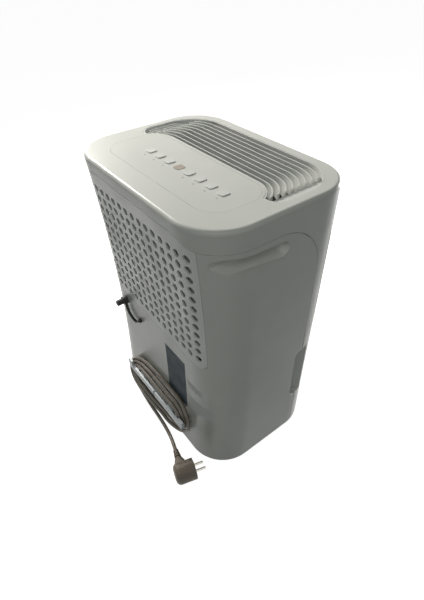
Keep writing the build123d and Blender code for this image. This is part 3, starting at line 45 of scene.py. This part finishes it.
scene.view_settings.view_transform = "Standard"
MM = 0.001


# ---------------------------------------------------------------- camera

# Held above the corner between the back and the -X side: lengths in mm, place in metres, roll in degrees
SENSOR_HEIGHT = 36.0
FOCAL_LENGTH = 25.43
CAMERA_PLACE = (-0.474504, 0.338288, 0.748074)
TOWARDS_CAMERA = (-0.60536, 0.44213, 0.66187)
CAMERA_ROLL = -1.476

camera_data = bpy.data.cameras.new("back_view")
camera_data.sensor_fit = "VERTICAL"
camera_data.sensor_height = SENSOR_HEIGHT
camera_data.lens = FOCAL_LENGTH
camera = bpy.data.objects.new("back_view", camera_data)
scene.collection.objects.link(camera)
backwards = Vector(TOWARDS_CAMERA).normalized()
level = Vector((0, 0, 1)).cross(backwards).normalized()
rightwards = Matrix.Rotation(math.radians(CAMERA_ROLL), 3, backwards) @ level
upwards = backwards.cross(rightwards)
camera_turn = Matrix((rightwards, upwards, backwards)).transposed().to_4x4()
camera.matrix_world = Matrix.Translation(CAMERA_PLACE) @ camera_turn
scene.camera = camera


# ---------------------------------------------------------------- tools for the finishes

# The part of its range in which noise mostly lies; a drift stretches it to the whole
NOISE_LOW, NOISE_HIGH = 0.2, 0.8
# A band texture of scale 1 repeats after this many metres
BAND_PERIOD = 0.314


def linear(hex_code):
    """An sRGB hex value as linear red, green, blue and full alpha."""
    channels = [int(hex_code[i:i + 2], 16) / 255 for i in (1, 3, 5)]
    return tuple(c / 12.92 if c <= 0.04045 else ((c + 0.055) / 1.055) ** 2.4
                 for c in channels) + (1.0,)


def add(tree, kind, settings=None, links=None):
    """One more node: settings go to its sockets or properties, links join its inputs to outputs."""
    node = tree.nodes.new("ShaderNode" + kind)
    for key, value in (settings or {}).items():
        if isinstance(key, int) or key in node.inputs:
            node.inputs[key].default_value = value
        else:
            setattr(node, key, value)
    for key, output in (links or {}).items():
        tree.links.new(output, node.inputs[key])
    return node


def new_finish(name):
    """An empty finish, its node tree and the position on the piece."""
    material = bpy.data.materials.new(name)
    material.use_nodes = True
    tree = material.node_tree
    tree.nodes.clear()
    place = add(tree, "TexCoord").outputs["Object"]
    return material, tree, place


def per_metre(size_mm):
    """Noise scale whose features are about that many millimetres across."""
    return 1.0 / (size_mm * MM)


def wander(tree, place, limits, size_mm, detail=1.0):
    """A value that drifts softly between two limits in patches of that size."""
    noise = add(tree, "TexNoise", {"Scale": per_metre(size_mm), "Detail": detail}, {"Vector": place})
    value = add(tree, "MapRange", {
        "interpolation_type": "SMOOTHERSTEP", "From Min": NOISE_LOW, "From Max": NOISE_HIGH,
        "To Min": limits[0], "To Max": limits[1]}, {"Value": noise.outputs[0]})
    return value.outputs[0]


def two_tone(tree, place, shades, size_mm, detail=3.0):
    """Soft drift between two shades in patches of that size."""
    drift = wander(tree, place, (0.0, 1.0), size_mm, detail)
    mix = add(tree, "Mix", {"data_type": "RGBA", 6: linear(shades[0]), 7: linear(shades[1])}, {0: drift})
    return mix.outputs[2]


def grain(tree, place, size_mm, strength, depth_mm=0.2):
    """Fine unevenness of that size, as a normal."""
    noise = add(tree, "TexNoise", {"Scale": per_metre(size_mm), "Detail": 2.0}, {"Vector": place})
    bump = add(tree, "Bump", {"Strength": strength, "Distance": depth_mm * MM},
               {"Height": noise.outputs[0]})
    return bump.outputs[0]


# ---------------------------------------------------------------- finishes

def moulded_plastic(name, shades, roughness, grain_mm, grain_strength, ior=1.53):
    """Injection-moulded plastic: slow drift of colour, finger smears in the gloss, the tool's grain."""
    material, tree, place = new_finish(name)
    surface = add(tree, "BsdfPrincipled", {"IOR": ior}, {
        "Base Color": two_tone(tree, place, shades, size_mm=70.0),
        "Roughness": wander(tree, place, roughness, size_mm=60.0),
        "Normal": grain(tree, place, grain_mm, grain_strength)})
    add(tree, "OutputMaterial", {}, {"Surface": surface.outputs[0]})
    return material


# ABS from a polished tool: off-white, soft-edged reflections, barely any orange peel;
# the IOR is lower than usual because the shaded walls mirror little
white_gloss_abs = moulded_plastic("white_abs_polished", ("#D8DAD4", "#DDDFD9"), (0.28, 0.34),
                                  grain_mm=2.4, grain_strength=0.03, ior=1.3)
# ABS from a spark-eroded tool: same white, reflections spread to a sheen
white_satin_abs = moulded_plastic("white_abs_satin", ("#D6D8D4", "#DFE0DC"), (0.34, 0.46),
                                  grain_mm=0.9, grain_strength=0.12)
# ABS of the cord hooks: a colder, slightly greyer white than the housing
hook_abs = moulded_plastic("hook_abs_moulded", ("#BEC5C9", "#CAD0D3"), (0.3, 0.42),
                           grain_mm=0.9, grain_strength=0.1)
# Polypropylene of the inner mouldings: grey, dull
grey_polypropylene = moulded_plastic("grey_polypropylene_moulded", ("#6B6E6C", "#777A78"), (0.42, 0.58),
                                     grain_mm=1.2, grain_strength=0.2, ior=1.49)
# Glass-filled nylon of the wheel and the switches: near black, faint grain
black_nylon = moulded_plastic("black_nylon_moulded", ("#1B1C1C", "#262727"), (0.38, 0.55),
                              grain_mm=0.8, grain_strength=0.2)
# Polypropylene of the tank: cold white with a soft sheen
tank_polypropylene = moulded_plastic("tank_polypropylene_moulded", ("#C3CCCF", "#D0D8DA"), (0.26, 0.4),
                                     grain_mm=1.4, grain_strength=0.1, ior=1.49)
# Polystyrene foam of the float: white and matt, beads show as a coarse grain
float_foam = moulded_plastic("float_foam_expanded", ("#DFE0DC", "#ECECE8"), (0.75, 0.9),
                             grain_mm=2.2, grain_strength=0.5, ior=1.45)
# Frosted acrylic light pipes: pale, a little dull
frosted_acrylic = moulded_plastic("light_pipe_acrylic", ("#B9BCB6", "#C6C9C2"), (0.3, 0.4),
                                  grain_mm=0.8, grain_strength=0.1, ior=1.49)
# Nitrile rubber of feet, grommets and drain stopper: black with a grey bloom
black_rubber = moulded_plastic("black_rubber_moulded", ("#111211", "#1E1F1E"), (0.48, 0.68),
                               grain_mm=1.1, grain_strength=0.35, ior=1.52)
# PVC of the mains plug: warm dark grey, sand-blasted tool
plug_pvc = moulded_plastic("plug_pvc_moulded", ("#5C5347", "#675D50"), (0.42, 0.56),
                           grain_mm=0.8, grain_strength=0.3, ior=1.52)
# Tinted acrylic lens of the display: beige, polished
display_acrylic = moulded_plastic("display_acrylic_tinted", ("#B0A395", "#BBAFA1"), (0.1, 0.18),
                                  grain_mm=3.0, grain_strength=0.02, ior=1.49)
# Solder-masked laminate of the control board: green, slightly glossy
board_laminate = moulded_plastic("board_laminate_masked", ("#1C4A2B", "#245634"), (0.28, 0.4),
                                 grain_mm=1.6, grain_strength=0.15, ior=1.5)
# Stove enamel on the steel of compressor and accumulator: black, slightly uneven gloss
black_enamel = moulded_plastic("compressor_enamel_black", ("#131414", "#1D1E1E"), (0.24, 0.42),
                               grain_mm=2.6, grain_strength=0.2)


def clear_plastic(name):
    """Clear moulded plastic: see-through with a polished skin."""
    material, tree, place = new_finish(name)
    surface = add(tree, "BsdfPrincipled", {"IOR": 1.59, "Transmission Weight": 0.9}, {
        "Base Color": two_tone(tree, place, ("#D3DCE0", "#E0E8EA"), size_mm=40.0),
        "Roughness": wander(tree, place, (0.06, 0.14), size_mm=30.0)})
    add(tree, "OutputMaterial", {}, {"Surface": surface.outputs[0]})
    return material


# Polystyrene of the level window: clear, faintly blue
clear_polystyrene = clear_plastic("level_window_polystyrene")


def drawn_metal(name, shades, roughness, streak_mm, along):
    """Drawn or rolled metal: fine streaks along one axis and slow changes of gloss."""
    material, tree, place = new_finish(name)
    squeeze = [0.06 if axis == along else 1.0 for axis in "XYZ"]
    stretched = add(tree, "Mapping", {"Scale": squeeze}, {"Vector": place}).outputs[0]
    surface = add(tree, "BsdfPrincipled", {"Metallic": 1.0}, {
        "Base Color": two_tone(tree, stretched, shades, size_mm=3.0 * streak_mm),
        "Roughness": wander(tree, place, roughness, size_mm=12.0),
        "Normal": grain(tree, stretched, streak_mm, strength=0.12, depth_mm=0.1)})
    add(tree, "OutputMaterial", {}, {"Surface": surface.outputs[0]})
    return material


# Zinc-plated screws and shaft: light grey with a dull bloom
zinc_steel = drawn_metal("steel_zinc_plated", ("#B2B4B4", "#C6C7C5"), (0.26, 0.4), streak_mm=1.2, along="Z")
# Pressed steel motor can: darker, rolled streaks
pressed_steel = drawn_metal("motor_steel_pressed", ("#77797A", "#8B8D8D"), (0.3, 0.45),
                            streak_mm=1.6, along="Y")
# Deep-drawn aluminium can of the capacitor: bright, faint lines up its side
drawn_aluminium = drawn_metal("capacitor_aluminium_drawn", ("#B9BBBC", "#CACBCB"), (0.24, 0.36),
                              streak_mm=1.2, along="Z")
# Copper tube, drawn: warm, with brown tarnish
drawn_copper = drawn_metal("copper_tube_drawn", ("#A65F3F", "#C98A66"), (0.22, 0.42),
                           streak_mm=3.0, along="X")
# Nickel-plated brass of the plug pins: pale and warm, fairly sharp reflections
nickel_brass = drawn_metal("pins_brass_nickelled", ("#C9C6BE", "#DAD7CF"), (0.16, 0.28),
                           streak_mm=0.8, along="Y")


def fin_stock(name, pitch_mm):
    """Aluminium fin pack: thin bright edges side by side, with painted shade between them."""
    material, tree, place = new_finish(name)
    fins = add(tree, "TexWave", {"bands_direction": "X", "Scale": BAND_PERIOD * per_metre(pitch_mm)},
               {"Vector": place}).outputs["Fac"]
    edge = add(tree, "MapRange", {"From Min": 0.25, "From Max": 0.75}, {"Value": fins})
    # The dark colour between the bright edges is painted shade, standing for the shadowed gaps between the
    # fins
    tone = add(tree, "Mix", {"data_type": "RGBA", 6: linear("#3C3E3F"), 7: linear("#B9BBBC")},
               {0: edge.outputs[0]})
    bump = add(tree, "Bump", {"Strength": 0.5, "Distance": 0.6 * MM}, {"Height": fins})
    surface = add(tree, "BsdfPrincipled", {"Metallic": 1.0}, {
        "Base Color": tone.outputs[2],
        "Roughness": wander(tree, place, (0.3, 0.45), size_mm=20.0),
        "Normal": bump.outputs[0]})
    add(tree, "OutputMaterial", {}, {"Surface": surface.outputs[0]})
    return material


# Pressed aluminium fins: about 1.6 mm apart on such coils, drawn at twice that so that they show, with
# painted shade between them
aluminium_fins = fin_stock("aluminium_fins_pressed", pitch_mm=3.2)


def woven_mesh(name, shades, painted_gap_shade, pitch_mm):
    """Woven nylon filter: crossing threads, dust caught in them, painted shade in the gaps between them."""
    material, tree, place = new_finish(name)
    scale = BAND_PERIOD * per_metre(pitch_mm)
    warp = add(tree, "TexWave", {"bands_direction": "X", "Scale": scale}, {"Vector": place})
    weft = add(tree, "TexWave", {"bands_direction": "Z", "Scale": scale}, {"Vector": place})
    thread = add(tree, "Math", {"operation": "MAXIMUM"},
                 {0: warp.outputs["Fac"], 1: weft.outputs["Fac"]}).outputs[0]
    dust = two_tone(tree, place, shades, size_mm=26.0, detail=6.0)
    # The gaps between the threads take a dark colour: painted shade, standing for the dark inside seen
    # through the cloth
    tone = add(tree, "Mix", {"data_type": "RGBA", 6: linear(painted_gap_shade)}, {0: thread, 7: dust})
    bump = add(tree, "Bump", {"Strength": 0.6, "Distance": 0.5 * MM}, {"Height": thread})
    surface = add(tree, "BsdfPrincipled", {"IOR": 1.53, "Sheen Weight": 0.1}, {
        "Base Color": tone.outputs[2],
        "Roughness": wander(tree, place, (0.6, 0.85), size_mm=15.0),
        "Normal": bump.outputs[0]})
    add(tree, "OutputMaterial", {}, {"Surface": surface.outputs[0]})
    return material


# Nylon filter cloth: greenish grey threads, drawn 2.8 mm apart, coarser than real so that they show; the dark
# gaps between them are painted shade
filter_cloth = woven_mesh("nylon_filter_woven", ("#7F8783", "#98A09B"), "#2E322F", pitch_mm=2.8)


def extruded_sheath(name, shades):
    """Extruded cable sheath: dull, rubbed paler in places."""
    material, tree, place = new_finish(name)
    surface = add(tree, "BsdfPrincipled", {"IOR": 1.52}, {
        "Base Color": two_tone(tree, place, shades, size_mm=22.0, detail=5.0),
        "Roughness": wander(tree, place, (0.36, 0.52), size_mm=16.0),
        "Normal": grain(tree, place, size_mm=1.2, strength=0.12)})
    add(tree, "OutputMaterial", {}, {"Surface": surface.outputs[0]})
    return material


# PVC mains lead, extruded: warm grey with a soft sheen along the top of each strand
lead_pvc = extruded_sheath("lead_pvc_extruded", ("#6C655A", "#797165"))


def printed_film(name, shades):
    """Polyester film: flat colour with a dull matt skin, so a low IOR."""
    material, tree, place = new_finish(name)
    surface = add(tree, "BsdfPrincipled", {"IOR": 1.2}, {
        "Base Color": two_tone(tree, place, shades, size_mm=30.0),
        "Roughness": wander(tree, place, (0.5, 0.62), size_mm=18.0)})
    add(tree, "OutputMaterial", {}, {"Surface": surface.outputs[0]})
    return material


# Rating plate: dark blue-grey film, matt
plate_film = printed_film("plate_film_printed", ("#2F393F", "#3A444A"))
# Plain stickers: pale film, a shade off the housing
sticker_film = printed_film("sticker_film_plain", ("#E6E8E5", "#EEF0ED"))

finish_of_slot = {
    "white_gloss": white_gloss_abs, "white_satin": white_satin_abs,
    "grey_plastic": grey_polypropylene, "dark_plastic": black_nylon,
    "board_green": board_laminate, "window_beige": display_acrylic,
    "light_pipe": frosted_acrylic, "mesh": filter_cloth, "rubber": black_rubber,
    "steel": zinc_steel, "motor_steel": pressed_steel, "clear": clear_polystyrene,
    "tank_plastic": tank_polypropylene, "float_foam": float_foam, "fins": aluminium_fins,
    "copper": drawn_copper, "black_paint": black_enamel, "aluminium": drawn_aluminium,
    "cord_pvc": lead_pvc, "plug_pvc": plug_pvc, "brass_pin": nickel_brass,
}
# The hooks are colder than the other pieces of their slot
own_finish = {"left_cord_hook": hook_abs, "right_cord_hook": hook_abs}
for subpart in frame["record"]["subparts"]:
    name = subpart["node"]
    piece = nodes[name]
    finish = own_finish.get(name, finish_of_slot[subpart["material_slot"]])
    if not piece.material_slots:
        piece.data.materials.append(finish)
    for held in piece.material_slots:
        held.material = finish


# ---------------------------------------------------------------- mains lead, wound on the two hooks

# First and last turn in mm, as seen from behind: from below the right-hand hook round it, over the top
# to the left-hand one and back underneath. The first runs on the stems behind the bars, the last leans
# on the wall above them; underneath they sag outwards
first_turn = [(-46, 126.9, 43.4), (-66.5, 127.8, 41.3), (-83, 128.2, 55.4), (-83, 130.2, 77.2),
              (-66.5, 131.3, 91), (-44, 131.5, 87.5), (0, 131.5, 86.5), (38, 131.3, 86.5),
              (67.5, 131.2, 83.8), (82, 131.8, 70), (82.3, 133.5, 50.2), (67, 136, 34),
              (38, 136.6, 35.4), (-2, 136.5, 39.8), (-28, 135, 41.5)]
last_turn = [(-46, 138, 26.6), (-77, 130.8, 26), (-103, 128, 54), (-103.5, 126.5, 89),
             (-79, 121.8, 109.5), (-46, 120.9, 112.5), (0, 120.9, 111.5), (38, 121.3, 106),
             (71, 124.2, 99), (98.5, 130.4, 74), (99.5, 135, 49), (76, 142.5, 15),
             (38, 143.8, 17.5), (-2, 143.9, 19.5), (-24, 142, 23)]
WHOLE_TURNS = 2
POINTS_OF_LAST_TURN = 11


def wound_turns():
    """Two loose turns and most of a third, spread evenly from the first to the last one."""
    per_turn = len(first_turn)
    route = []
    for step in range(WHOLE_TURNS * per_turn + POINTS_OF_LAST_TURN):
        turn, place = divmod(step, per_turn)
        route.append(Vector(first_turn[place]).lerp(Vector(last_turn[place]), turn / WHOLE_TURNS))
    return route


# Out of the strain relief, down and under the winding, through its turns, and off to the plug
lead_route = [(78, 123.637, 57.825), (78, 125.3, 50), (77.8, 125.8, 39), (73.5, 126.3, 26),
              (64, 126.6, 16.5), (50, 126.8, 12), (32, 126.8, 12), (12, 126.6, 17),
              (-10, 126.4, 27), (-28, 126, 36)]
lead_route += wound_turns()
lead_route += [(93.5, 136.8, 33), (83, 137, 20.5), (62, 137.5, 14), (38, 139.8, 13), (8, 142, 12.5),
               (-26, 143.2, 11.5), (-56, 146.4, 11), (-76, 150.8, 14), (-87.1, 154.5, 19),
               (-101.5, 158.7, 19)]

lead_curve = bpy.data.curves.new("mains_lead", "CURVE")
lead_curve.dimensions = "3D"
lead_curve.bevel_depth = 3.5 * MM
lead_curve.bevel_resolution = 4
lead_curve.use_fill_caps = True
lead_line = lead_curve.splines.new("NURBS")
lead_line.points.add(len(lead_route) - 1)
for point, (x, y, z) in zip(lead_line.points, lead_route):
    point.co = (x * MM, y * MM, z * MM, 1.0)
lead_line.order_u = 3
lead_line.use_endpoint_u = True
lead_line.resolution_u = 6
mains_lead = bpy.data.objects.new("mains_lead", lead_curve)
scene.collection.objects.link(mains_lead)
lead_curve.materials.append(lead_pvc)
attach(mains_lead, "housing")
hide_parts("cord_hank", "cord_tail")


# ---------------------------------------------------------------- films on the back wall

FILM_GRID = 24
FILM_START = 170 * MM          # behind the wall, from where the film is laid on
FILM_LIFT = 0.25 * MM
FILM_THICKNESS = 0.2 * MM
FILM_SMOOTH = math.radians(40)


def wall_film(name, x_limits, z_limits, finish):
    """A thin film laid on the back wall between those limits in mm, following its curves."""
    width, height = ((high - low) * MM for low, high in (x_limits, z_limits))
    bpy.ops.object.select_all(action="DESELECT")
    bpy.ops.mesh.primitive_grid_add(
        x_subdivisions=FILM_GRID, y_subdivisions=FILM_GRID, size=1.0, rotation=(-math.pi / 2, 0, 0),
        location=(sum(x_limits) / 2 * MM, FILM_START, sum(z_limits) / 2 * MM))
    film = bpy.context.object
    film.name = name
    film.scale = (width, height, 1.0)
    bpy.ops.object.transform_apply(location=True, rotation=True, scale=True)
    lay = film.modifiers.new("lay", "SHRINKWRAP")
    lay.target = nodes["rear_shell"]
    lay.wrap_method = "PROJECT"
    lay.use_project_y = True
    lay.use_negative_direction = True
    lay.use_positive_direction = False
    lay.offset = FILM_LIFT
    bpy.ops.object.modifier_apply(modifier="lay")
    thick = film.modifiers.new("thick", "SOLIDIFY")
    thick.thickness = FILM_THICKNESS
    thick.offset = -1.0
    bpy.ops.object.modifier_apply(modifier="thick")
    bpy.ops.object.shade_smooth_by_angle(angle=FILM_SMOOTH)
    film.data.materials.append(finish)
    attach(film, "housing")


wall_film("rating_plate", (-88, -30), (105, 220), plate_film)
wall_film("narrow_sticker", (-131, -95), (172, 186), sticker_film)
wall_film("wide_sticker", (-147, -98), (117, 150), sticker_film)


# ---------------------------------------------------------------- sky, floor and lamps

WHITE = (1.0, 1.0, 1.0, 1.0)
SKY_FILL = 0.07                # light from all round on the object; the sky itself is seen as white
FLOOR_GLOW = 0.95              # lifts the floor to white where it is seen
FLOOR_SIZE = 40.0              # metres, so that its edge stays out of the camera's view


def seen_directly(tree):
    """1 for what the camera, a reflection or a clear piece looks at, 0 for what only lights things."""
    path = add(tree, "LightPath").outputs
    seen = add(tree, "Math", {"operation": "MAXIMUM"},
               {0: path["Is Camera Ray"], 1: path["Is Glossy Ray"]})
    through = add(tree, "Math", {"operation": "MAXIMUM"},
                  {0: seen.outputs[0], 1: path["Is Transmission Ray"]})
    return through.outputs[0]


world = bpy.data.worlds.new("studio")
scene.world = world
world.use_nodes = True
sky = world.node_tree
sky.nodes.clear()
fill = add(sky, "Background", {"Color": linear("#F2F5F0"), "Strength": SKY_FILL})
white = add(sky, "Background", {"Color": WHITE, "Strength": 1.0})
sky_mix = add(sky, "MixShader", {}, {0: seen_directly(sky), 1: fill.outputs[0], 2: white.outputs[0]})
add(sky, "OutputWorld", {}, {"Surface": sky_mix.outputs[0]})

# Floor: painted board, dark so that it throws little light back, and drawn white where it is seen,
# with the object's soft shadow
floor_paint, paint, spot = new_finish("floor_board_painted")
dark = add(paint, "BsdfDiffuse", {}, {"Color": two_tone(paint, spot, ("#565858", "#5C5E5E"), 90.0)})
pale = add(paint, "BsdfDiffuse", {}, {"Color": two_tone(paint, spot, ("#B0B1B1", "#B6B7B7"), 90.0)})
glow = add(paint, "Emission", {"Color": WHITE, "Strength": FLOOR_GLOW})
bright = add(paint, "AddShader", {}, {0: pale.outputs[0], 1: glow.outputs[0]})
floor_mix = add(paint, "MixShader", {},
                {0: seen_directly(paint), 1: dark.outputs[0], 2: bright.outputs[0]})
add(paint, "OutputMaterial", {}, {"Surface": floor_mix.outputs[0]})
bpy.ops.object.select_all(action="DESELECT")
bpy.ops.mesh.primitive_grid_add(x_subdivisions=4, y_subdivisions=4, size=FLOOR_SIZE, location=(0, 0, 0))
floor = bpy.context.object
floor.name = "floor"
floor.data.materials.append(floor_paint)


def soft_lamp(name, place, aim, size, watts, colour):
    """A square soft box aimed at a point."""
    data = bpy.data.lights.new(name, "AREA")
    data.shape = "SQUARE"
    data.size = size
    data.energy = watts
    data.color = linear(colour)[:3]
    lamp = bpy.data.objects.new(name, data)
    scene.collection.objects.link(lamp)
    lamp.location = place
    lamp.rotation_euler = (Vector(aim) - Vector(place)).to_track_quat("-Z", "Y").to_euler()


# From high at the +X side, along the top; the back and the -X side stay in shade
soft_lamp("top_light", place=(1.25, -0.02, 1.18), aim=(0.05, 0, 0.5), size=0.4, watts=26.0, colour="#FFFCF6")
# Weak and wide, from beside the camera: lifts the shaded sides
soft_lamp("near_light", place=(-0.75, 0.7, 1.2), aim=(-0.1, 0.05, 0.4), size=0.8, watts=2.9, colour="#FBFFFD")
# Level with the front, which the camera doesn't see
soft_lamp("front_light", place=(0.1, -1.75, 0.28), aim=(0, 0, 0.25), size=0.4, watts=22.0, colour="#FFFFFF")
